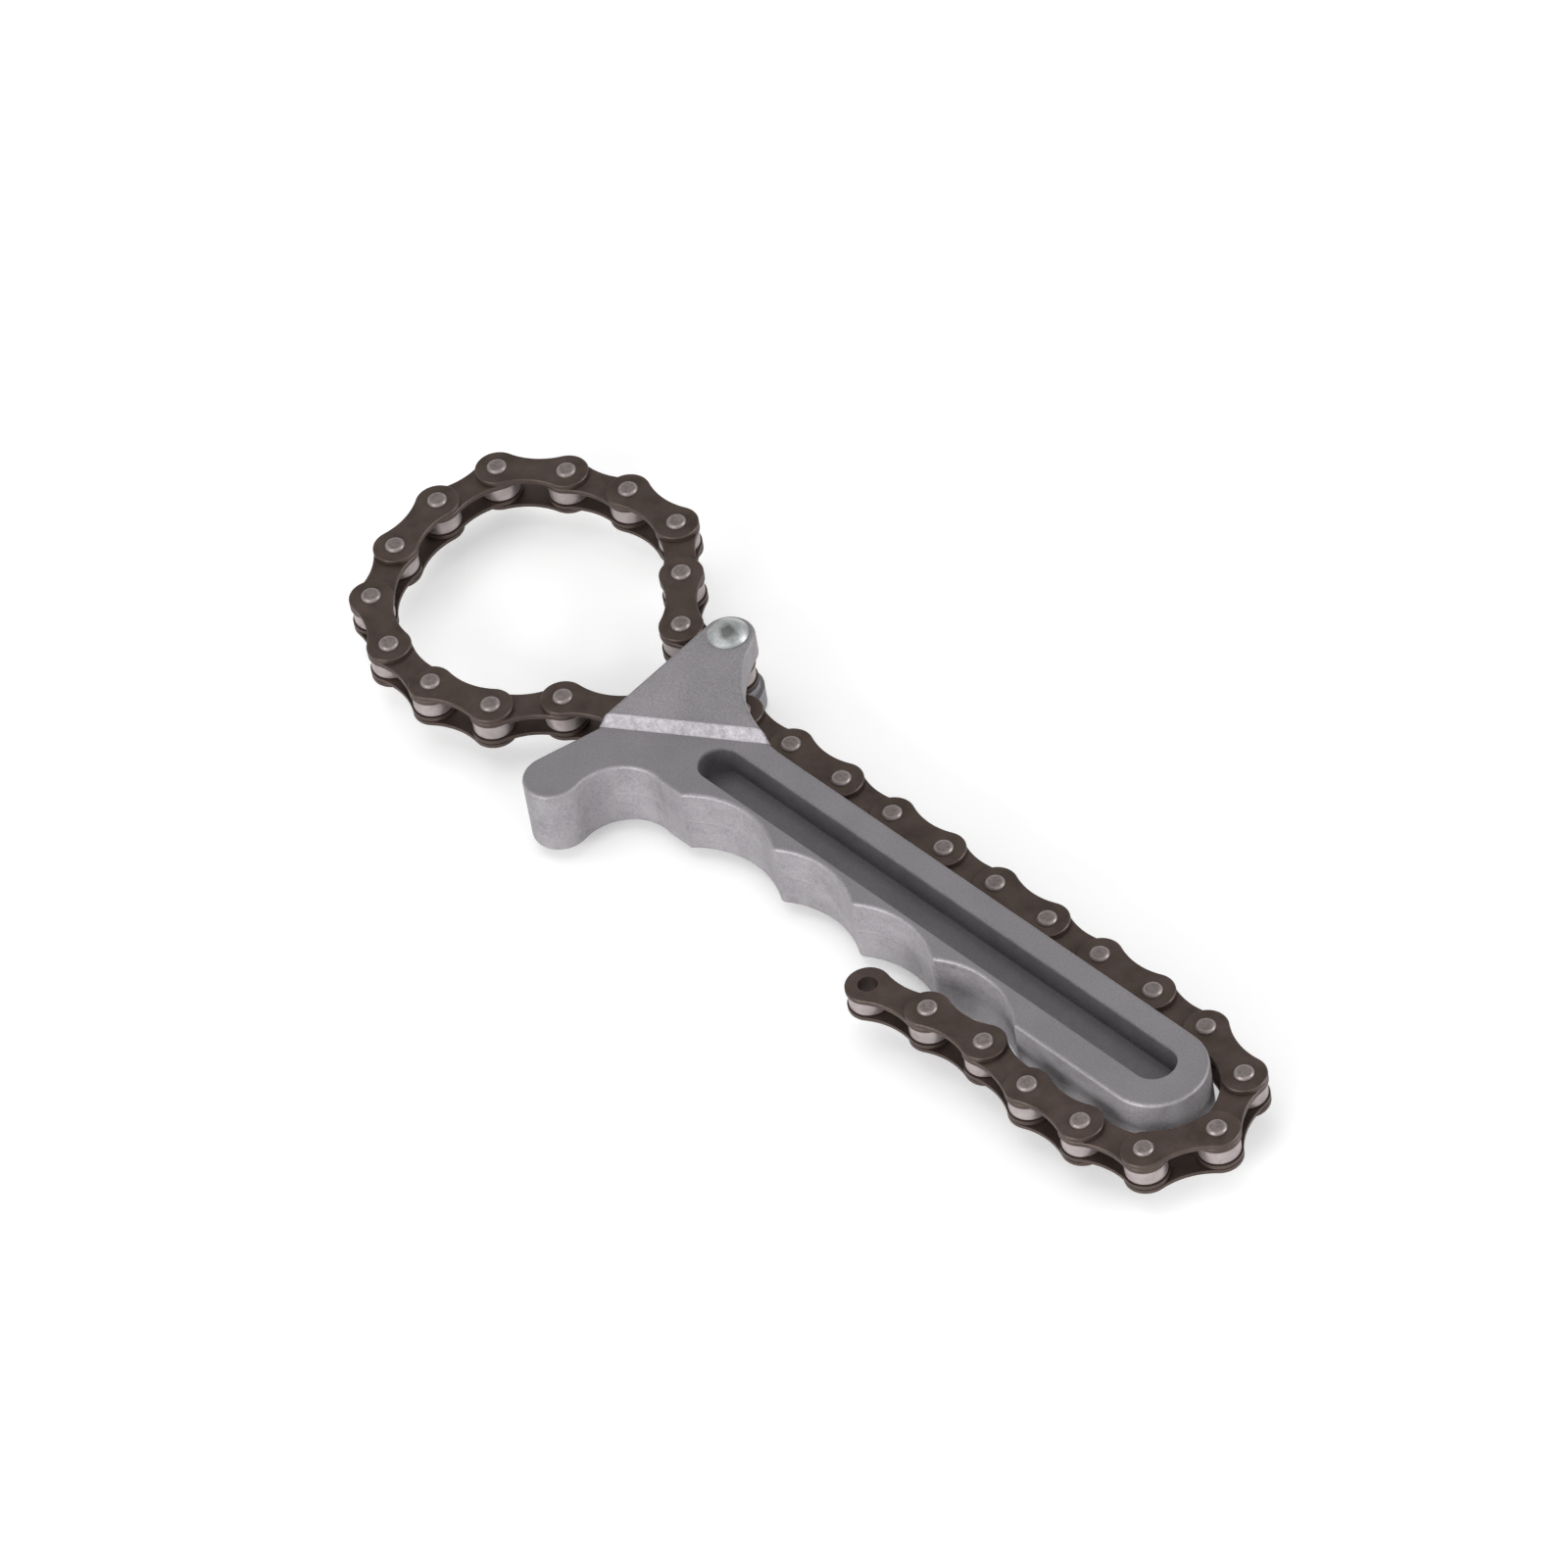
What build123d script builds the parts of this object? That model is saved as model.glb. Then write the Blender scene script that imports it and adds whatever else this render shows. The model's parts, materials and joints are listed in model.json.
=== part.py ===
from build123d import *
import os
from math import acos, asin, atan2, cos, degrees, hypot, radians, sin, sqrt

# Chain oil filter wrench: a cast handle with a forked head, and a roller chain that is riveted to
# the fork, runs round the filter, comes back through the fork and is caught there on a spur.
# Millimetres. The origin is the foot of the rivet's axis, on the plane that the head rests on.
# +X runs from the head along the grip, +Y from the finger side to the spine side, +Z is up.

# Roller chain
pitch = 12.7
link_count = 33
caught_link = 15
open_pivot = 7
inner_width = 3.3
plate_thickness = 0.85
plate_gap = 0.1
lobe_diameter = 8.0
waist_width = 5.5
plate_edge = 0.15
pin_diameter = 3.5
pin_overhang = 0.55
pin_edge = 0.25
pin_running_gap = 0.05
bush_wall = 0.65
roller_diameter = 7.4
roller_running_gap = 0.05
roller_side_gap = 0.1
roller_edge = 0.2
seat_gap = 0.01

# Head of the casting: two cheeks with the chain's channel between them
cheek_thickness = 4.8
channel_gap = 0.2
tip_radius = 4.8
head_corner_x = -2.7
head_corner_y = -27.6
head_edge_radius = 0.8
blend_radius = 24.0
floor_angle = 32.0
floor_gap = 0.8
floor_lip = 1.1
bevel_run = 1.4
boss_radius = 4.1
boss_gap = 0.15
spur_thickness = 3.0
spur_side_gap = 0.25
spur_reach = 1.2
spur_spread = 3.4
spur_root = 1.0

# Grip of the casting
body_thickness = 13.5
spine_drop = 12.3
grip_width = 18.1
grip_reach = 136.05
body_edge_radius = 0.6
pocket_start = 15.9
pocket_end_wall = 5.9
pocket_width = 7.9
pocket_web = 1.5
spine_wall = 4.7
finger_wall = 1.1
finger_radius = 17.8
finger_pitch = 19.6
first_finger_x = 31.8
finger_count = 4
cusp_radius = 1.2
beak_radius = 5.2
beak_x = -0.7
beak_y = -41.7
trigger_radius = 8.9
trigger_bite = 0.2

# Rivet
rivet_head_diameter = 7.5
rivet_rim = 0.4
rivet_dome = 1.5
rivet_foot_diameter = 6.4
rivet_foot_depth = 1.4

# Lie of the chain. Angles are in degrees, counted from +X towards +Y.
caught_heading = 80.0
caught_bearing = -104.0
link_gap = 0.35
row_gap = 0.35
wrap_gap = 1.2
wrap_lead = 1.2
loop_first_heading = 182.0
loop_turns = (-45, 4, 39, 18, 18, 45, 21, 17, 34, 21, 21, 34, -24)
tail_end_turns = (-9, 13, 6)

# One overrun for every cut
overrun = 5.0

# Chain sizes that follow
lobe_radius = lobe_diameter / 2
pin_radius = pin_diameter / 2
bush_bore_radius = pin_radius + pin_running_gap
bush_radius = bush_bore_radius + bush_wall
roller_width = inner_width - 2 * roller_side_gap
inner_plate_low = inner_width / 2
inner_plate_high = inner_plate_low + plate_thickness
outer_plate_low = inner_plate_high + plate_gap
outer_plate_high = outer_plate_low + plate_thickness
pin_half = outer_plate_high + pin_overhang

# Casting sizes that follow
channel_half = pin_half + channel_gap
head_half = channel_half + cheek_thickness
body_half = body_thickness / 2
chain_height = head_half
middle = Plane.XY.offset(chain_height)
spine_y = -spine_drop
grip_foot_y = spine_y - grip_width
grip_end_x = grip_reach - grip_width / 2
grip_middle_y = spine_y - grip_width / 2
pocket_y = spine_y - spine_wall - pocket_width / 2
finger_top_y = pocket_y - pocket_width / 2 - finger_wall
blend_y = spine_y + blend_radius
blend_x = sqrt((blend_radius + tip_radius) ** 2 - blend_y**2)
wrap_radius = grip_width / 2 + lobe_radius + wrap_gap
trigger_y = grip_foot_y - trigger_radius + trigger_bite
trigger_x = beak_x + sqrt((beak_radius + trigger_radius) ** 2 - (trigger_y - beak_y) ** 2)


def polar(start, length, heading):
    """The point at a length and a heading in degrees from the start."""
    return (start[0] + length * cos(radians(heading)), start[1] + length * sin(radians(heading)))


def tangent_point(outside, centre, radius, side):
    """Where a line from a point outside a circle touches it, on the left (1) or right (-1)."""
    dx = outside[0] - centre[0]
    dy = outside[1] - centre[1]
    bearing = degrees(atan2(dy, dx)) + side * degrees(acos(radius / hypot(dx, dy)))
    return polar(centre, radius, bearing)


def follow(start, headings):
    """The pins of a run of links, one heading to a link."""
    pins = [start]
    for heading in headings:
        pins.append(polar(pins[-1], pitch, heading))
    return pins


# The caught link: its upper pin lies just clear of the first link's lobe round the rivet
caught_end = polar((0, 0), lobe_diameter + link_gap, caught_bearing)
caught_start = polar(caught_end, -pitch, caught_heading)


def loop_headings(first, stretch):
    """The headings of the links from the rivet to the caught link, with every turn stretched."""
    headings = [first]
    for turn in loop_turns:
        headings.append(headings[-1] + turn * stretch)
    return headings


def closing_miss(first, stretch):
    """How far the loop's last pin lands from the caught link."""
    end = follow((0, 0), loop_headings(first, stretch))[-1]
    return (end[0] - caught_start[0], end[1] - caught_start[1])


def close_loop():
    """Newton's rule finds the first heading and the stretch that close the loop."""
    first = loop_first_heading
    stretch = 1.0
    turn_step = 0.01
    stretch_step = 0.0001
    for _ in range(20):
        miss = closing_miss(first, stretch)
        by_turn = closing_miss(first + turn_step, stretch)
        by_stretch = closing_miss(first, stretch + stretch_step)
        a = (by_turn[0] - miss[0]) / turn_step
        b = (by_stretch[0] - miss[0]) / stretch_step
        c = (by_turn[1] - miss[1]) / turn_step
        d = (by_stretch[1] - miss[1]) / stretch_step
        first -= (miss[0] * d - b * miss[1]) / (a * d - b * c)
        stretch -= (a * miss[1] - miss[0] * c) / (a * d - b * c)
    return follow((0, 0), loop_headings(first, stretch))


def lay_tail():
    """The pins past the caught link: along the spine, round the grip's end and back."""
    row_y = spine_y + lobe_radius + row_gap
    wrap_centre = (grip_end_x + wrap_lead, row_y - wrap_radius)
    pins = [caught_end]
    rise = row_y - caught_end[1]
    pins.append((caught_end[0] + sqrt(pitch**2 - rise**2), row_y))
    while pins[-1][0] + pitch < wrap_centre[0]:
        pins.append((pins[-1][0] + pitch, row_y))
    # The first pin on the wrap is a pitch away from the row's last pin
    turn = 2 * degrees(asin(pitch / 2 / wrap_radius))
    start = pins[-1]
    low, high = 90 - 2 * turn, 90.0
    for _ in range(50):
        bearing = (low + high) / 2
        at = polar(wrap_centre, wrap_radius, bearing)
        if hypot(at[0] - start[0], at[1] - start[1]) > pitch:
            low = bearing
        else:
            high = bearing
    while bearing > -90:
        pins.append(polar(wrap_centre, wrap_radius, bearing))
        bearing -= turn
    # The rest runs back towards the head and ends in a slight wave
    foot_y = wrap_centre[1] - wrap_radius
    rise = foot_y - pins[-1][1]
    pins.append((pins[-1][0] - sqrt(pitch**2 - rise**2), foot_y))
    left = link_count - caught_link - len(pins) + 1
    headings = [180.0] * (left - len(tail_end_turns))
    for turn in tail_end_turns:
        headings.append((headings[-1] if headings else 180.0) + turn)
    return pins[:-1] + follow(pins[-1], headings)


loop_pins = close_loop()
tail_pins = lay_tail()
pins = loop_pins[:-1] + [caught_start] + tail_pins

# Where the channel's floor lies: past the caught link's lower lobe
floor_normal = (sin(radians(floor_angle)), -cos(radians(floor_angle)))
caught_depth = caught_start[0] * floor_normal[0] + caught_start[1] * floor_normal[1]
floor_depth = caught_depth + lobe_radius + floor_gap
bevel_depth = floor_depth + floor_lip

# A plane across the channel: its X points from the rivet to the grip, its Y is up
across_channel = Plane(
    origin=(0, 0, chain_height),
    x_dir=(floor_normal[0], floor_normal[1], 0),
    z_dir=(-floor_normal[1], floor_normal[0], 0),
)
far = grip_reach + overrun

# Outline of the casting, seen from above, anticlockwise from the blend behind the tip
corner = (head_corner_x, head_corner_y)
beak = (beak_x, beak_y)
blend_start = (blend_x, spine_y)
blend_share = tip_radius / (blend_radius + tip_radius)
blend_end = (blend_x * blend_share, blend_y * blend_share)
blend_bearing = degrees(atan2(blend_end[1] - blend_y, blend_end[0] - blend_x)) % 360
tip_end = tangent_point(corner, (0, 0), tip_radius, -1)
tip_bearing = (degrees(atan2(tip_end[1], tip_end[0])) % 360 + degrees(atan2(blend_end[1], blend_end[0]))) / 2
beak_start = tangent_point(corner, beak, beak_radius, 1)
beak_heading = degrees(atan2(trigger_y - beak_y, trigger_x - beak_x))
beak_end = polar(beak, beak_radius, beak_heading)
trigger_end = (trigger_x + sqrt(trigger_radius**2 - (trigger_radius - trigger_bite) ** 2), grip_foot_y)
finger_centre_y = finger_top_y - finger_radius
finger_land = sqrt(finger_radius**2 - (grip_foot_y - finger_centre_y) ** 2)
cusp_y = finger_centre_y + sqrt(finger_radius**2 - finger_pitch**2 / 4)
last_finger_x = first_finger_x + (finger_count - 1) * finger_pitch

with BuildSketch(middle) as outline:
    with BuildLine():
        blend_middle = polar((blend_x, blend_y), blend_radius, (blend_bearing + 270) / 2)
        ThreePointArc(blend_start, blend_middle, blend_end)
        ThreePointArc(blend_end, polar((0, 0), tip_radius, tip_bearing), tip_end)
        Polyline(tip_end, corner, beak_start)
        ThreePointArc(beak_start, polar(beak, beak_radius, beak_heading / 2 - 90), beak_end)
        ThreePointArc(beak_end, polar((trigger_x, trigger_y), trigger_radius, 135), trigger_end)
        at = (first_finger_x - finger_land, grip_foot_y)
        Line(trigger_end, at)
        for finger in range(finger_count):
            finger_x = first_finger_x + finger * finger_pitch
            cusp = (finger_x + finger_pitch / 2, cusp_y)
            if finger == finger_count - 1:
                cusp = (last_finger_x + finger_land, grip_foot_y)
            ThreePointArc(at, (finger_x, finger_top_y), cusp)
            at = cusp
        Line(at, (grip_end_x, grip_foot_y))
        ThreePointArc((grip_end_x, grip_foot_y), (grip_reach, grip_middle_y), (grip_end_x, spine_y))
        Line((grip_end_x, spine_y), blend_start)
    make_face()
    cusps = outline.vertices().filter_by(lambda v: first_finger_x < v.X < last_finger_x and v.Y > grip_foot_y)
    fillet(cusps.filter_by(lambda v: v.Y < finger_top_y), cusp_radius)

# The thicker head, with its sloping shoulder, before it joins the grip
with BuildPart() as head:
    with BuildSketch(middle):
        add(outline.sketch)
    extrude(amount=head_half, both=True)
    outer_faces = head.faces().filter_by(Axis.Z)
    fillet(outer_faces.edges(), head_edge_radius)
    with BuildSketch(across_channel):
        with BuildLine():
            Polyline(
                (bevel_depth, head_half + overrun),
                (bevel_depth, head_half),
                (bevel_depth + bevel_run, body_half),
                (bevel_depth + bevel_run, -body_half),
                (bevel_depth, -head_half),
                (bevel_depth, -head_half - overrun),
                (far, -head_half - overrun),
                (far, head_half + overrun),
                close=True,
            )
        make_face()
    extrude(amount=far, both=True, mode=Mode.SUBTRACT)

# The spur that catches the chain stands square to the caught link, between its rollers
spur_half = (pitch - roller_diameter) / 2 - spur_side_gap
spur_heading = caught_heading - 90
link_middle = polar(caught_start, pitch / 2, caught_heading)
spur_tip = polar(link_middle, -spur_reach, spur_heading)
tip_left = polar(spur_tip, -spur_half, caught_heading)
tip_right = polar(spur_tip, spur_half, caught_heading)
shoulder = polar(link_middle, roller_diameter / 2, spur_heading)
shoulder_left = polar(shoulder, -spur_half, caught_heading)
shoulder_right = polar(shoulder, spur_half, caught_heading)
middle_depth = link_middle[0] * floor_normal[0] + link_middle[1] * floor_normal[1]
slope = cos(radians(spur_heading)) * floor_normal[0] + sin(radians(spur_heading)) * floor_normal[1]
foot = polar(link_middle, (floor_depth + spur_root - middle_depth) / slope, spur_heading)
foot_left = polar(foot, -spur_half, floor_angle)
foot_right = polar(foot, spur_half + spur_spread, floor_angle)

# Handle casting
with BuildPart() as handle:
    with BuildSketch(middle):
        add(outline.sketch)
    extrude(amount=body_half, both=True)
    flat_faces = handle.faces().filter_by(Axis.Z)
    fillet(flat_faces.edges(), body_edge_radius)
    add(head.part)
    # Channel between the cheeks, from the floor to past the tip
    with BuildSketch(across_channel):
        with Locations(((floor_depth - far) / 2, 0)):
            Rectangle(floor_depth + far, 2 * channel_half)
    extrude(amount=far, both=True, mode=Mode.SUBTRACT)
    # Spur
    with BuildSketch(middle):
        with BuildLine():
            Polyline(
                tip_left,
                shoulder_left,
                foot_left,
                foot_right,
                shoulder_right,
                tip_right,
                close=True,
            )
        make_face()
    extrude(amount=spur_thickness / 2, both=True)
    # Bosses that keep the first link in the middle of the channel
    boss_low = inner_plate_high + boss_gap
    for side in (1, -1):
        with BuildSketch(middle.offset(side * boss_low)):
            Circle(boss_radius)
        extrude(amount=side * (channel_half - boss_low))
    # Pocket in each face of the grip
    pocket_end = grip_reach - pocket_end_wall
    pocket_middle = ((pocket_start + pocket_end) / 2, pocket_y)
    for side in (1, -1):
        with BuildSketch(middle.offset(side * body_half)):
            with Locations(pocket_middle):
                SlotOverall(pocket_end - pocket_start, pocket_width)
        extrude(amount=-side * (body_half - pocket_web / 2), mode=Mode.SUBTRACT)
    # Rivet hole, countersunk in the lower cheek
    with BuildSketch(middle):
        Circle(pin_radius + seat_gap)
    extrude(amount=head_half, both=True, mode=Mode.SUBTRACT)
    with BuildSketch(Plane.XZ):
        with BuildLine():
            Polyline(
                (0, 0),
                (rivet_foot_diameter / 2 + seat_gap, 0),
                (pin_radius + seat_gap, rivet_foot_depth + seat_gap),
                (0, rivet_foot_depth + seat_gap),
                close=True,
            )
        make_face()
    revolve(axis=Axis.Z, mode=Mode.SUBTRACT)
handle.part.label = "handle_casting"

# Rivet: dome on the upper cheek, plain shank, flush foot in the lower cheek
rivet_seat = 2 * head_half
with BuildPart() as rivet:
    with BuildSketch(Plane.XZ):
        with BuildLine():
            Polyline(
                (0, rivet_seat + rivet_rim + rivet_dome),
                (0, 0),
                (rivet_foot_diameter / 2, 0),
                (pin_radius, rivet_foot_depth),
                (pin_radius, rivet_seat),
                (rivet_head_diameter / 2, rivet_seat),
                (rivet_head_diameter / 2, rivet_seat + rivet_rim),
            )
            dome_radius = (rivet_head_diameter**2 / 4 + rivet_dome**2) / 2 / rivet_dome
            RadiusArc(
                (rivet_head_diameter / 2, rivet_seat + rivet_rim),
                (0, rivet_seat + rivet_rim + rivet_dome),
                -dome_radius,
            )
        make_face()
    revolve(axis=Axis.Z)
rivet.part.label = "rivet"

# Outline of a side plate, with two lobes and a waist that runs into them smoothly
waist_radius = (pitch**2 / 4 + waist_width**2 / 4 - lobe_radius**2) / (lobe_diameter - waist_width)
waist_share = lobe_radius / (lobe_radius + waist_radius)
neck_x = pitch / 2 * waist_share
neck_y = (waist_width / 2 + waist_radius) * waist_share
far_neck_x = pitch - neck_x


def side_plate(low, holes):
    """A pair of side plates that starts at a height either side of the middle."""
    with BuildPart() as plates:
        for side in (1, -1):
            with BuildSketch(Plane.XY.offset(side * low)):
                with BuildLine():
                    ThreePointArc((neck_x, neck_y), (pitch / 2, waist_width / 2), (far_neck_x, neck_y))
                    ThreePointArc((far_neck_x, neck_y), (pitch + lobe_radius, 0), (far_neck_x, -neck_y))
                    ThreePointArc((far_neck_x, -neck_y), (pitch / 2, -waist_width / 2), (neck_x, -neck_y))
                    ThreePointArc((neck_x, -neck_y), (-lobe_radius, 0), (neck_x, neck_y))
                make_face()
                with Locations((0, 0), (pitch, 0)):
                    Circle(holes + seat_gap, mode=Mode.SUBTRACT)
            extrude(amount=side * plate_thickness)
        for face in (plates.faces().sort_by(Axis.Z)[0], plates.faces().sort_by(Axis.Z)[-1]):
            chamfer(face.outer_wire().edges(), plate_edge)
    return plates.part


inner_plates = side_plate(inner_plate_low, bush_radius)
outer_plates = side_plate(outer_plate_low, pin_radius)

# Inner link: two plates pressed on two bushes
with BuildPart() as inner_link:
    add(inner_plates)
    with BuildSketch(Plane.XY):
        with Locations((0, 0), (pitch, 0)):
            Circle(bush_radius)
            Circle(bush_bore_radius, mode=Mode.SUBTRACT)
    extrude(amount=inner_plate_high, both=True)

# The two rollers that turn on an inner link's bushes
with BuildPart() as rollers:
    with BuildSketch(Plane.XY):
        with Locations((0, 0), (pitch, 0)):
            Circle(roller_diameter / 2)
            Circle(bush_radius + roller_running_gap, mode=Mode.SUBTRACT)
    extrude(amount=roller_width / 2, both=True)
    rims = rollers.edges().filter_by(GeomType.CIRCLE)
    chamfer(rims.filter_by(lambda edge: edge.radius > bush_radius + roller_edge), roller_edge)

# Pins of an outer link, each with a bevelled end
with BuildPart() as pin:
    with BuildSketch(Plane.XY):
        Circle(pin_radius)
    extrude(amount=pin_half, both=True)
    chamfer(pin.edges().filter_by(GeomType.CIRCLE), pin_edge)

with BuildPart() as outer_link:
    add(outer_plates)
    with Locations((0, 0), (pitch, 0)):
        add(pin.part)

# The outer link past the open pivot: there its pin is left as two studs in the plates
with BuildPart() as open_link:
    add(outer_link.part)
    Cylinder(pin_radius + seat_gap / 2, 2 * outer_plate_low, mode=Mode.SUBTRACT)

os.makedirs("parts", exist_ok=True)
export_step(handle.part, "parts/handle_casting.step")
export_step(rivet.part, "parts/rivet.step")

for number in range(1, link_count + 1):
    start = pins[number - 1]
    end = pins[number]
    heading = degrees(atan2(end[1] - start[1], end[0] - start[0]))
    place = Location((start[0], start[1], chain_height), (0, 0, heading))
    if number % 2:
        placed = inner_link.part.moved(place)
        placed.label = f"link_{number:02d}_inner"
        turning = rollers.part.moved(place)
        turning.label = f"link_{number:02d}_rollers"
        export_step(turning, f"parts/{turning.label}.step")
    elif number == open_pivot + 1:
        placed = open_link.part.moved(place)
        placed.label = f"link_{number:02d}_outer"
    else:
        placed = outer_link.part.moved(place)
        placed.label = f"link_{number:02d}_outer"
    export_step(placed, f"parts/{placed.label}.step")
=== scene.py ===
import json
import math

import bpy
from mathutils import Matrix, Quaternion, Vector


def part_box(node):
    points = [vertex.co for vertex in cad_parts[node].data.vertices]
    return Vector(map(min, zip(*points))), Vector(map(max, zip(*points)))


# Chain oil filter wrench, in metres, in the frame of the CAD model: +X from the head along the grip,
# +Y from the finger side to the spine side, +Z up.
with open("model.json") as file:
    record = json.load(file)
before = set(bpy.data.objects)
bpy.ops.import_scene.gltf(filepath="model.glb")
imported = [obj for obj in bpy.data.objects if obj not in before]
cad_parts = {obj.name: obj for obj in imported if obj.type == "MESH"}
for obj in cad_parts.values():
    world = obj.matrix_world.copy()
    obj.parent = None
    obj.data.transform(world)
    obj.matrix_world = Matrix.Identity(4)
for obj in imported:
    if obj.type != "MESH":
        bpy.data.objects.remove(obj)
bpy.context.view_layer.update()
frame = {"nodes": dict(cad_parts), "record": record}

# Places on the object. The chain lies at the middle of the casting's thickness, and the heights of
# faces are given from there, because both sides are alike.
casting_low, casting_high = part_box("handle_casting")
CHAIN_HEIGHT = (casting_low.z + casting_high.z) / 2
OUTER_PLATE_TOP = 0.00345  # outer face of the outer links' plates
GRIP_THICKNESS = 0.0135
GRIP_FACE = GRIP_THICKNESS / 2
POCKET_START = 0.0159  # on X
POCKET_END = 0.13015
POCKET_MIDDLE = -0.02095  # on Y
POCKET_WIDTH = 0.0079
POCKET_WEB = 0.0015  # metal left between the two pockets
POCKET_FLOOR = POCKET_WEB / 2
SHOULDER_ANGLE = math.radians(-58.0)  # from +X, down the slope between the head and the grip
SHOULDER_START = 0.02115  # from the origin, in that direction
SHOULDER_RUN = 0.0014
RIVET_RIM = 0.0034  # radius where the dome ends
# The rivet's greyer spot is a painted dark reflection, set off its crown towards the camera.
REFLECTION_SPOT = (0.0008, -0.0006, 0.0)  # the greyer spot on the rivet's dome
REFLECTION_INNER = 0.0014  # it is fully grey inside this radius
REFLECTION_OUTER = 0.0028
REFLECTION_WAVE = 0.0010  # unevenness of its outline
BORDER = 0.0001  # step of the soft borders between two finishes

# Camera, fitted to the photograph
CAMERA_AIM = Vector((0.0266, -0.0132, 0.009))
CAMERA_AZIMUTH = 53.905
CAMERA_ELEVATION = 45.866
CAMERA_ROLL = -10.187
CAMERA_DISTANCE = 1.8575
CAMERA_LENS = 247.5
CAMERA_SENSOR = 36.0
CAMERA_NEAR = 0.1
CAMERA_FAR = 50.0

# Floor and light
FLOOR_HALF = 6.0
FLOOR_DROP = 0.0002  # under the object's lowest point
FLOOR_GLOW = 0.22
SKY_LIGHT = 0.45
BACKDROP_LIGHT = 1.0  # renders as plain white

# Colours, in linear red, green and blue
WHITE = (1.0, 1.0, 1.0)
CAST_DARK = (0.278, 0.264, 0.281)
CAST_LIGHT = (0.350, 0.331, 0.353)
# painted shade on the casting's edges and on the grip's broad faces
CAST_PAINTED_SHADE = (0.20, 0.19, 0.20)
# painted shade, in speckles, on the shoulder
SHOULDER_PAINTED_SHADE = (0.13, 0.125, 0.13)
FLOW_LINE = (0.16, 0.155, 0.16)
FLOW_PATCH = (0.52, 0.51, 0.51)
BLOWHOLE = (0.10, 0.10, 0.105)
# painted shade in the pockets
POCKET_PAINTED_SHADE = (0.05, 0.047, 0.052)
PLATE_DARK = (0.054, 0.0365, 0.030)
PLATE_LIGHT = (0.093, 0.065, 0.054)
PLATE_SCUFF = (0.16, 0.125, 0.115)
PLATE_WORN = (0.25, 0.20, 0.185)
PIN_DARK = (0.15, 0.125, 0.12)
PIN_LIGHT = (0.26, 0.22, 0.21)
PIN_RING = (0.50, 0.44, 0.43)
ROLLER_DARK = (0.35, 0.295, 0.295)
ROLLER_LIGHT = (0.50, 0.44, 0.44)
ROLLER_STAIN = (0.16, 0.12, 0.11)
ZINC_DARK = (0.50, 0.52, 0.52)
ZINC_LIGHT = (0.70, 0.72, 0.72)
# painted dark reflection on the rivet's dome
ZINC_PAINTED_REFLECTION = (0.16, 0.163, 0.163)
ZINC_RIM = (0.30, 0.30, 0.31)


def rgba(colour):
    """A colour of three numbers, or a grey, with an alpha of 1."""
    return (*colour, 1.0) if isinstance(colour, tuple) else (colour, colour, colour, 1.0)


def is_socket(value):
    return isinstance(value, bpy.types.NodeSocket)


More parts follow.
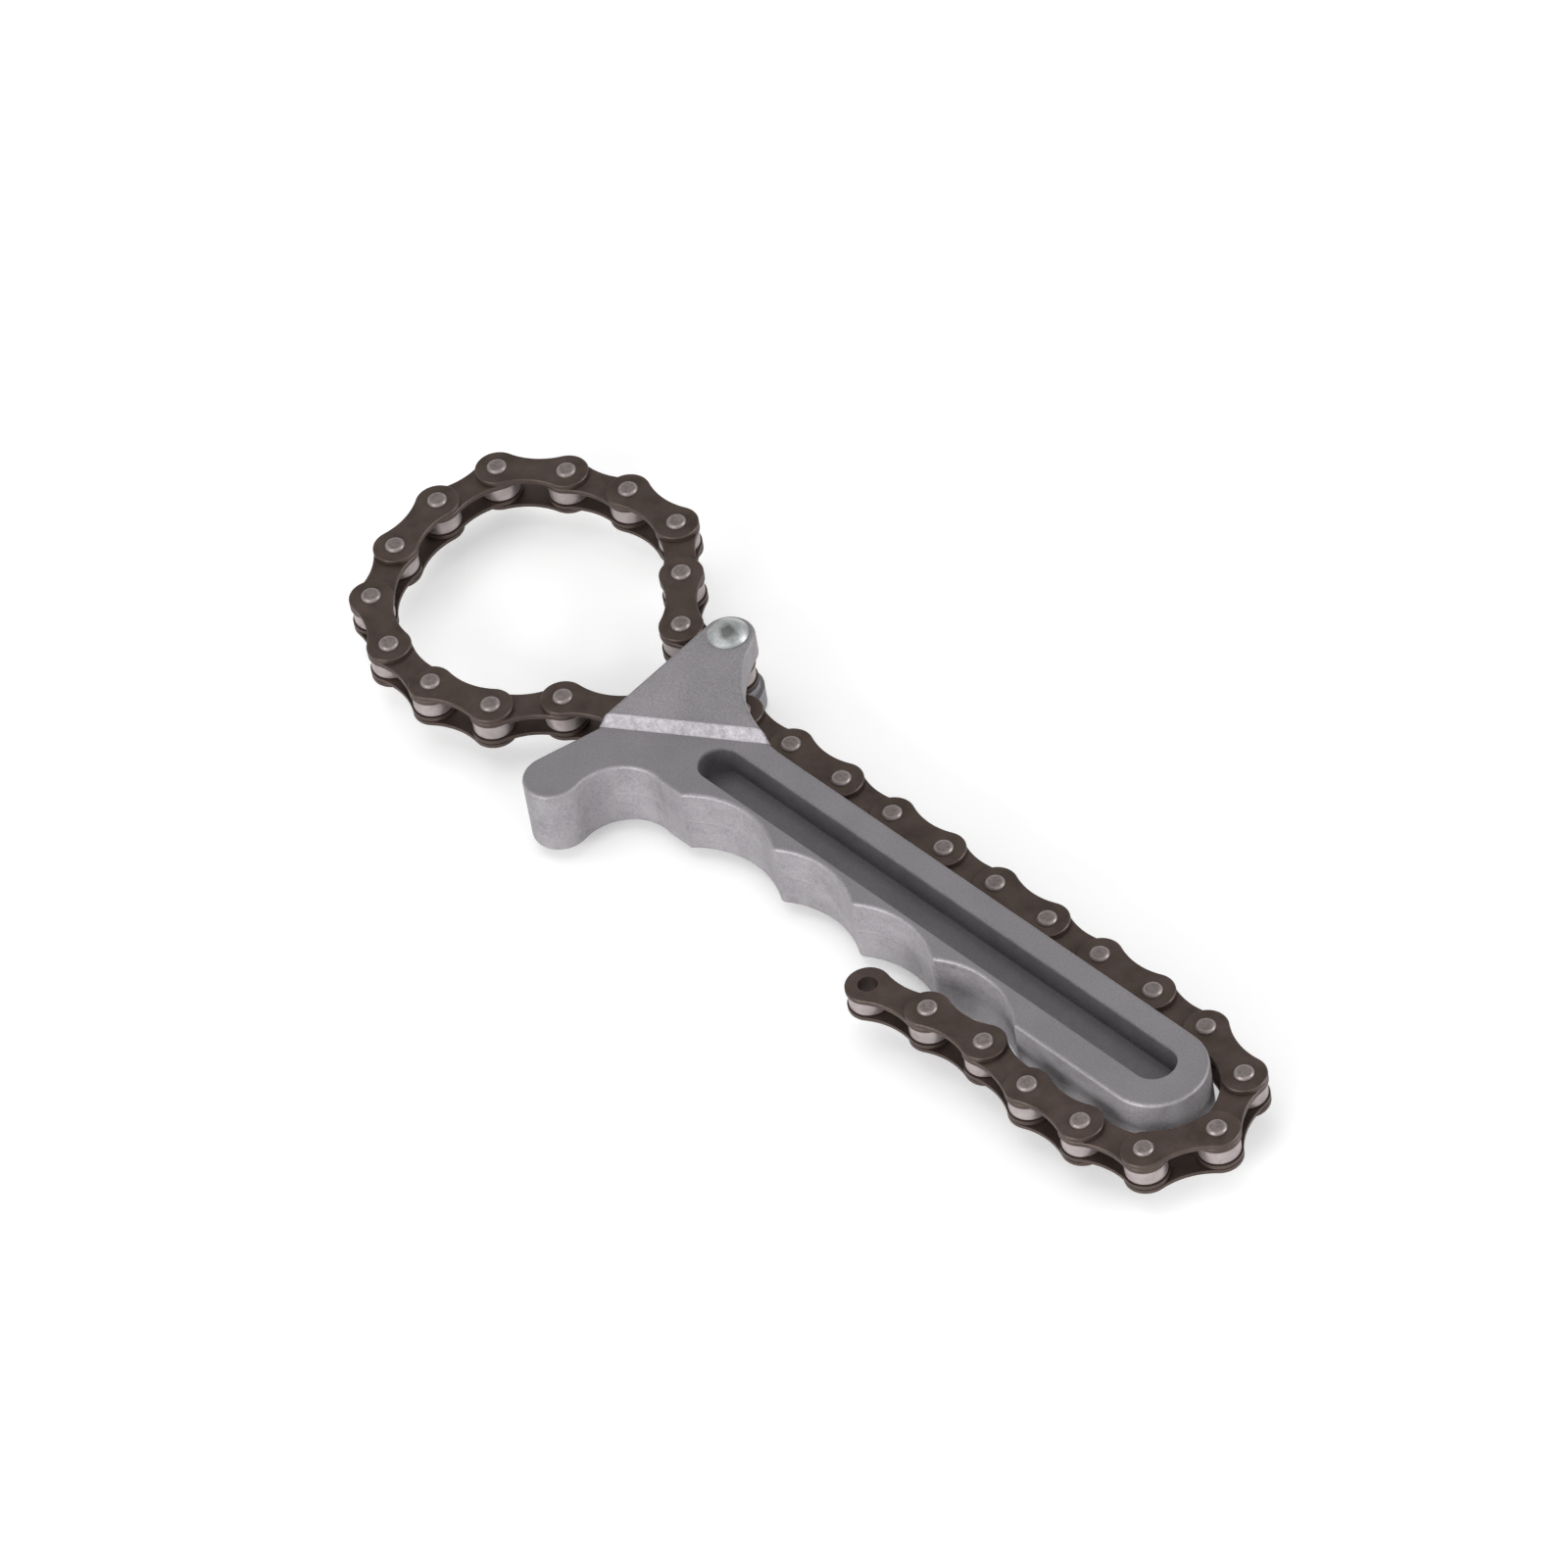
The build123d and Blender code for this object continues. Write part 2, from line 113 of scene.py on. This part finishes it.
class NodeTree:
    """The nodes of a material or a world, emptied but for the output.

    Wherever a value goes in, it is a constant or the socket that feeds it.
    """

    def __init__(self, owner, output):
        owner.use_nodes = True
        self.owner = owner
        self.tree = owner.node_tree
        self.tree.nodes.clear()
        self.surface = self.node(output).inputs["Surface"]

    def join(self, value, socket):
        """Puts a value into a socket."""
        if is_socket(value):
            self.tree.links.new(value, socket)
        else:
            socket.default_value = value

    def node(self, kind, inputs=None, **settings):
        made = self.tree.nodes.new(kind)
        for key, value in settings.items():
            setattr(made, key, value)
        for key, value in (inputs or {}).items():
            self.join(value, made.inputs[key])
        return made

    def maths(self, operation, *values):
        return self.node("ShaderNodeMath", dict(enumerate(values)), operation=operation).outputs[0]

    def product(self, first, *others):
        for other in others:
            first = self.maths("MULTIPLY", first, other)
        return first

    def total(self, first, *others):
        for other in others:
            first = self.maths("ADD", first, other)
        return first

    def vector(self, operation, output, first, second=(0.0, 0.0, 0.0)):
        made = self.node("ShaderNodeVectorMath", {0: first, 1: second}, operation=operation)
        return made.outputs[output]

    def rise(self, value, low, high):
        """From 0 at the low value to 1 at the high one, which may be the smaller number."""
        inputs = {"Value": value, "From Min": low, "From Max": high}
        return self.node("ShaderNodeMapRange", inputs).outputs["Result"]

    def ramp(self, factor, *stops):
        """A colour ramp. Each stop is a position and a colour or a grey."""
        made = self.node("ShaderNodeValToRGB", {"Fac": factor})
        elements = made.color_ramp.elements
        while len(elements) < len(stops):
            elements.new(1.0)
        for element, (position, colour) in zip(elements, stops):
            element.position = position
            element.color = rgba(colour)
        return made.outputs["Color"]

    def blend(self, factor, first, second, mode="MIX"):
        made = self.node("ShaderNodeMix", {0: factor}, data_type="RGBA", blend_type=mode)
        for value, socket in ((first, made.inputs[6]), (second, made.inputs[7])):
            self.join(value if is_socket(value) else rgba(value), socket)
        return made.outputs[2]

    def layer(self, colour, over, *shares):
        """A colour laid over another, as far as the product of its masks and strengths."""
        return self.blend(self.product(*shares), colour, over)

    def place(self):
        """Object coordinates, which stay with a piece as it moves."""
        return self.node("ShaderNodeTexCoord").outputs["Object"]

    def part_of(self, vector, axis):
        return self.node("ShaderNodeSeparateXYZ", {0: vector}).outputs[axis]

    def only(self, axis, value):
        """A vector with a value on one axis and nothing on the others."""
        return self.node("ShaderNodeCombineXYZ", {axis: value}).outputs[0]

    def distance_from(self, axis, value):
        """Distance from a plane square to an axis, on either side of it."""
        return self.maths("ABSOLUTE", self.maths("SUBTRACT", self.part_of(self.place(), axis), value))

    def height(self):
        """Distance from the middle of the chain and of the casting, up or down."""
        return self.distance_from("Z", CHAIN_HEIGHT)

    def level(self):
        """1 where the surface is level, up or down, and 0 where it is upright."""
        normal = self.node("ShaderNodeNewGeometry").outputs["Normal"]
        return self.maths("ABSOLUTE", self.part_of(normal, "Z"))

    def noise(self, cells, detail=4.0, roughness=0.55, where=None):
        """Noise with a number of cells to the metre."""
        inputs = {"Vector": where or self.place(), "Scale": cells, "Detail": detail, "Roughness": roughness}
        return self.node("ShaderNodeTexNoise", inputs).outputs["Fac"]

    def spots(self, cells):
        """Distance from the nearest of scattered points, with a number of cells to the metre."""
        return self.node("ShaderNodeTexVoronoi", {"Vector": self.place(), "Scale": cells}).outputs["Distance"]

    def edges(self, radius, sharpness):
        """Near 1 along sharp edges and 0 on open faces."""
        rounded = self.node("ShaderNodeBevel", {"Radius": radius}, samples=6).outputs[0]
        true = self.node("ShaderNodeNewGeometry").outputs["Normal"]
        facing = self.vector("DOT_PRODUCT", "Value", rounded, true)
        return self.rise(facing, 1.0, 1.0 - sharpness)

    def finish_metal(self, colour, roughness, relief, metallic, strength, depth):
        """Joins a metal shader to the output."""
        bump_inputs = {"Height": relief, "Strength": strength, "Distance": depth}
        bumped = self.node("ShaderNodeBump", bump_inputs).outputs[0]
        shader_inputs = {"Base Color": colour, "Roughness": roughness, "Metallic": metallic, "Normal": bumped}
        shader = self.node("ShaderNodeBsdfPrincipled", shader_inputs)
        self.join(shader.outputs[0], self.surface)
        return self.owner


def new_material(name):
    return NodeTree(bpy.data.materials.new(name), "ShaderNodeOutputMaterial")


# Finishes of the casting


def flow_marks(metal, colour, level):
    """Wavy lines and lighter patches on the sides, where the metal flowed together in the mould."""
    sides = metal.rise(level, 0.6, 0.3)
    lines = metal.ramp(metal.noise(cells=150.0, detail=3.0), (0.47, 0.0), (0.50, 1.0), (0.53, 0.0))
    colour = metal.layer(colour, FLOW_LINE, lines, sides, 0.22)
    patches = metal.ramp(metal.noise(cells=230.0, detail=4.0), (0.40, 0.0), (0.65, 1.0))
    return metal.layer(colour, FLOW_PATCH, patches, sides, 0.20)


def blowholes(metal):
    """A mask of a few small holes, in groups."""
    holes = metal.ramp(metal.spots(cells=170.0), (0.03, 1.0), (0.06, 0.0))
    groups = metal.ramp(metal.noise(cells=60.0), (0.50, 0.0), (0.56, 1.0))
    return metal.product(holes, groups)


def shade_shoulder(metal, colour):
    """Speckled painted shade on the shoulder between the head and the grip, which dims its highlight."""
    direction = (math.cos(SHOULDER_ANGLE), math.sin(SHOULDER_ANGLE), 0.0)
    end = SHOULDER_START + SHOULDER_RUN
    across = metal.vector("DOT_PRODUCT", "Value", metal.place(), direction)
    past_start = metal.rise(across, SHOULDER_START - BORDER, SHOULDER_START + BORDER)
    before_end = metal.rise(across, end + BORDER, end - BORDER)
    above_grip = metal.rise(metal.height(), GRIP_FACE, GRIP_FACE + BORDER)
    speckled_shade = metal.ramp(metal.noise(cells=1400.0, detail=4.0, roughness=0.7), (0.30, 0.0), (0.70, 0.35))
    return metal.layer(colour, SHOULDER_PAINTED_SHADE, past_start, before_end, above_grip, speckled_shade)


def shade_grip_faces(metal, colour, level):
    """Painted shade makes the grip's broad faces a little darker than the head's."""
    on_grip = metal.rise(metal.height(), GRIP_FACE + 4 * BORDER, GRIP_FACE + BORDER)
    return metal.layer(colour, CAST_PAINTED_SHADE, on_grip, metal.rise(level, 0.8, 0.95), 0.5)


def paint_pocket_shade(metal, colour):
    """Painted shade in the pockets, darkest high on their walls."""
    middle = (POCKET_START + POCKET_END) / 2
    half_length = (POCKET_END - POCKET_START) / 2
    half_width = POCKET_WIDTH / 2
    rim = GRIP_FACE - 10 * BORDER
    across = metal.rise(metal.distance_from("Y", POCKET_MIDDLE), half_width + 3 * BORDER, half_width + BORDER)
    along = metal.rise(metal.distance_from("X", middle), half_length + 3 * BORDER, half_length + BORDER)
    below = metal.rise(metal.height(), GRIP_FACE - 2 * BORDER, rim)
    walls = metal.rise(metal.height(), POCKET_FLOOR + BORDER, POCKET_FLOOR + 4 * BORDER)
    upper = metal.rise(metal.height(), POCKET_FLOOR, rim)
    # Painted shade: lighter on the floor, stronger on the walls, and most of all high on the walls.
    darker = metal.product(walls, metal.total(metal.product(upper, 0.28), 0.10))
    return metal.layer(colour, POCKET_PAINTED_SHADE, metal.total(darker, 0.26), across, along, below)


def casting_material():
    """Matte die-cast aluminium: fine grain, faint cloudy patches, small pits and rough edges, with painted
    shade on the edges, the shoulder, the grip's faces and in the pockets.
    """
    metal = new_material("cast_aluminium")
    grain = metal.noise(cells=2600.0, detail=3.0, roughness=0.7)
    holes = blowholes(metal)
    edges = metal.edges(radius=0.0007, sharpness=0.25)
    level = metal.level()

    clouds = metal.ramp(metal.noise(cells=90.0, detail=5.0), (0.30, CAST_DARK), (0.70, CAST_LIGHT))
    speckle = metal.ramp(grain, (0.32, 0.80), (0.62, 1.10))
    colour = metal.blend(1.0, clouds, speckle, "MULTIPLY")
    colour = flow_marks(metal, colour, level)
    colour = metal.layer(colour, BLOWHOLE, holes, 0.45)
    # Painted shade along the rounded edges, which dims their highlights.
    colour = metal.layer(colour, CAST_PAINTED_SHADE, edges, 0.25)
    colour = shade_shoulder(metal, colour)
    colour = shade_grip_faces(metal, colour, level)
    colour = paint_pocket_shade(metal, colour)

    rough = metal.ramp(metal.noise(cells=700.0, detail=4.0), (0.3, 0.50), (0.7, 0.62))
    rough = metal.total(rough, metal.product(edges, 0.30))

    # The seam is the line where the two halves of the mould met, and its width is in millimetres
    seam = metal.ramp(metal.product(metal.height(), 1000.0), (0.10, 1.0), (0.28, 0.0))
    pitted = metal.ramp(metal.spots(cells=900.0), (0.06, 0.0), (0.16, 1.0))
    relief = metal.total(
        metal.product(grain, 0.8),
        metal.product(pitted, 0.5),
        metal.product(seam, 1.6),
        metal.product(holes, -1.5),
    )
    return metal.finish_metal(colour, rough, relief, metallic=0.6, strength=0.3, depth=0.0001)


# Finishes of the rivet and the chain


def rivet_material():
    """Bright zinc with faint ring marks of the heading tool, and a painted dark reflection as a greyer spot
    near the crown.
    """
    metal = new_material("zinc_rivet")
    flat = metal.vector("MULTIPLY", "Vector", metal.place(), (1.0, 1.0, 0.0))
    radius = metal.vector("LENGTH", "Value", flat)
    rings = metal.noise(cells=4200.0, detail=2.0, where=metal.only("X", radius))
    blotch = metal.noise(cells=900.0, detail=5.0)

    from_spot = metal.vector("DISTANCE", "Value", flat, REFLECTION_SPOT)
    from_spot = metal.total(from_spot, metal.product(blotch, REFLECTION_WAVE))
    dark_reflection = metal.rise(from_spot, REFLECTION_OUTER, REFLECTION_INNER)
    rim = metal.rise(radius, RIVET_RIM, RIVET_RIM + 2 * BORDER)
    colour = metal.ramp(blotch, (0.3, ZINC_DARK), (0.7, ZINC_LIGHT))
    # Painted dark reflection: a grey spot on the dome, on its side towards the camera.
    colour = metal.layer(colour, ZINC_PAINTED_REFLECTION, dark_reflection)
    colour = metal.layer(colour, ZINC_RIM, rim, 0.5)

    rough = metal.ramp(metal.noise(cells=1500.0, detail=4.0), (0.3, 0.32), (0.7, 0.44))
    rough = metal.total(rough, metal.product(dark_reflection, 0.15))
    relief = metal.total(metal.product(rings, 0.4), blotch)
    return metal.finish_metal(colour, rough, relief, metallic=0.9, strength=0.12, depth=0.0001)


def bare_pin_ends(metal, colour):
    """The pins' ends are grey, with a bright ring where they are riveted."""
    beyond_plate = metal.rise(metal.height(), OUTER_PLATE_TOP + 0.2 * BORDER, OUTER_PLATE_TOP + 0.6 * BORDER)
    bare = metal.ramp(metal.noise(cells=1800.0, detail=4.0), (0.3, PIN_DARK), (0.7, PIN_LIGHT))
    bare = metal.layer(bare, PIN_RING, metal.edges(radius=0.0009, sharpness=0.12), 0.7)
    return metal.layer(colour, bare, beyond_plate)


def plate_material(name, with_pins):
    """Oil-blackened steel plates, browned, with scuffs and worn edges."""
    metal = new_material(name)
    patches = metal.noise(cells=260.0, detail=5.0)
    scuffs = metal.ramp(metal.noise(cells=1500.0, detail=6.0, roughness=0.7), (0.60, 0.0), (0.78, 1.0))
    colour = metal.ramp(patches, (0.28, PLATE_DARK), (0.72, PLATE_LIGHT))
    colour = metal.layer(colour, PLATE_SCUFF, scuffs, 0.35)
    colour = metal.layer(colour, PLATE_WORN, metal.edges(radius=0.00025, sharpness=0.3), 0.5)
    if with_pins:
        colour = bare_pin_ends(metal, colour)
    rough = metal.ramp(patches, (0.3, 0.34), (0.7, 0.48))
    relief = metal.noise(cells=1300.0, detail=5.0)
    return metal.finish_metal(colour, rough, relief, metallic=0.55, strength=0.25, depth=0.00008)


def roller_material():
    """Ground steel rollers with a faint warm cast and fine turning marks."""
    metal = new_material("roller_steel")
    upward = metal.only("Z", metal.part_of(metal.place(), "Z"))
    turned = metal.noise(cells=5200.0, detail=2.0, where=upward)
    stain = metal.ramp(metal.noise(cells=520.0, detail=5.0), (0.58, 0.0), (0.74, 1.0))
    colour = metal.ramp(metal.noise(cells=320.0, detail=4.0), (0.3, ROLLER_DARK), (0.7, ROLLER_LIGHT))
    colour = metal.layer(colour, ROLLER_STAIN, stain, 0.35)
    rough = metal.ramp(turned, (0.3, 0.28), (0.7, 0.42))
    return metal.finish_metal(colour, rough, turned, metallic=0.7, strength=0.2, depth=0.00004)


materials = {
    "casting": casting_material(),
    "rivet": rivet_material(),
    "inner_plates": plate_material("inner_plate_steel", with_pins=False),
    "outer_plates": plate_material("outer_plate_steel", with_pins=True),
    "rollers": roller_material(),
}
for part in frame["record"]["subparts"]:
    mesh = frame["nodes"][part["node"]].data
    mesh.materials.clear()
    mesh.materials.append(materials[part["material_slot"]])


# World, floor, lights and camera


def add_world():
    """Soft light from all round. The camera sees plain white there."""
    sky = NodeTree(bpy.data.worlds.new("studio"), "ShaderNodeOutputWorld")
    light = sky.node("ShaderNodeBackground", {"Color": rgba(WHITE), "Strength": SKY_LIGHT})
    backdrop = sky.node("ShaderNodeBackground", {"Color": rgba(WHITE), "Strength": BACKDROP_LIGHT})
    direct = sky.node("ShaderNodeLightPath").outputs["Is Camera Ray"]
    seen = sky.node("ShaderNodeMixShader", {0: direct, 1: light.outputs[0], 2: backdrop.outputs[0]})
    sky.join(seen.outputs[0], sky.surface)
    bpy.context.scene.world = sky.owner


def floor_material():
    """Pale paper. It glows a little for the camera alone, so that it joins the white backdrop."""
    paper = new_material("floor_paper")
    fibres = paper.ramp(paper.noise(cells=40.0), (0.3, 0.93), (0.7, 0.95))
    matte = paper.node("ShaderNodeBsdfDiffuse", {"Color": fibres})
    direct = paper.node("ShaderNodeLightPath").outputs["Is Camera Ray"]
    glow = paper.node("ShaderNodeEmission", {"Strength": paper.product(direct, FLOOR_GLOW)})
    lit = paper.node("ShaderNodeAddShader", {0: matte.outputs[0], 1: glow.outputs[0]})
    paper.join(lit.outputs[0], paper.surface)
    return paper.owner


def add_floor():
    """A wide plane just under the object."""
    corners = [(x * FLOOR_HALF, y * FLOOR_HALF, 0) for x, y in ((-1, -1), (1, -1), (1, 1), (-1, 1))]
    plane = bpy.data.meshes.new("floor")
    plane.from_pydata(corners, [], [(0, 1, 2, 3)])
    plane.materials.append(floor_material())
    floor = bpy.data.objects.new("floor", plane)
    floor.location.z = -FLOOR_DROP
    bpy.context.scene.collection.objects.link(floor)


def add_facing(name, data, azimuth, elevation, distance, roll=0.0):
    """A lamp or camera that faces the object. Azimuth 0 is in front, on -Y."""
    turn, lift = math.radians(azimuth), math.radians(elevation)
    back = Vector((math.sin(turn) * math.cos(lift), -math.cos(turn) * math.cos(lift), math.sin(lift)))
    made = bpy.data.objects.new(name, data)
    made.location = CAMERA_AIM + back * distance
    made.rotation_mode = "QUATERNION"
    made.rotation_quaternion = (-back).to_track_quat("-Z", "Y") @ Quaternion((0, 0, 1), math.radians(roll))
    bpy.context.scene.collection.objects.link(made)
    return made


def add_lamp(name, azimuth, elevation, distance, size, watts):
    """A square soft box."""
    lamp = bpy.data.lights.new(name, "AREA")
    lamp.shape = "SQUARE"
    lamp.size = size
    lamp.energy = watts
    add_facing(name, lamp, azimuth, elevation, distance)


def add_camera():
    """The photograph's view."""
    lens = bpy.data.cameras.new("camera")
    lens.lens = CAMERA_LENS
    lens.sensor_width = CAMERA_SENSOR
    lens.clip_start = CAMERA_NEAR
    lens.clip_end = CAMERA_FAR
    camera = add_facing("camera", lens, CAMERA_AZIMUTH, CAMERA_ELEVATION, CAMERA_DISTANCE, CAMERA_ROLL)
    bpy.context.scene.camera = camera


add_world()
add_floor()
add_lamp("key", azimuth=8.0, elevation=16.0, distance=1.6, size=1.1, watts=26.0)
add_lamp("top", azimuth=-80.0, elevation=75.0, distance=1.8, size=1.4, watts=7.0)
add_lamp("side", azimuth=135.0, elevation=22.0, distance=1.6, size=0.9, watts=12.0)
add_lamp("fill", azimuth=78.0, elevation=24.0, distance=1.7, size=1.3, watts=4.0)
add_camera()

bpy.context.scene.view_settings.view_transform = "Standard"
